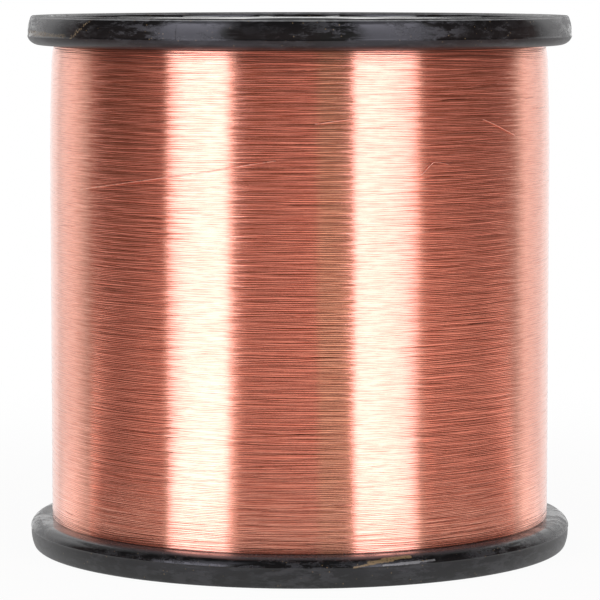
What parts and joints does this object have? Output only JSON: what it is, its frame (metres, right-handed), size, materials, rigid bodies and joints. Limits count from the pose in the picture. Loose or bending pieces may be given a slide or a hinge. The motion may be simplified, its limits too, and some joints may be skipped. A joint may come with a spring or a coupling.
{
  "type": "wire spool",
  "caption": "Black moulded plastic reel with ribbed flanges and a spindle bore, wound full of fine enamelled copper wire.",
  "frame": {"origin": "middle of the lower rim's face, where the reel stands", "axes": "+Z along the reel's axis, up through the upper flange; the front of the reel faces -Y; +X is to the right of the front"},
  "size_m": [0.16, 0.16, 0.1565],
  "materials": {
    "flange_plastic": "black moulded plastic, glossy, lightly scuffed",
    "core_plastic": "black moulded plastic, unpolished",
    "packed_wire": "packed layers of enamelled copper wire, in shade between the turns",
    "copper_wire": "enamelled copper wire, clear glossy enamel, turns side by side"
  },
  "bodies": {
    "root": {"lower_flange": "flange_plastic", "upper_flange": "flange_plastic", "barrel": "core_plastic", "hub_tube": "core_plastic", "inner_layers": "packed_wire", "outer_turns": "copper_wire", "finish_end": "copper_wire"}
  },
  "joints": []
}
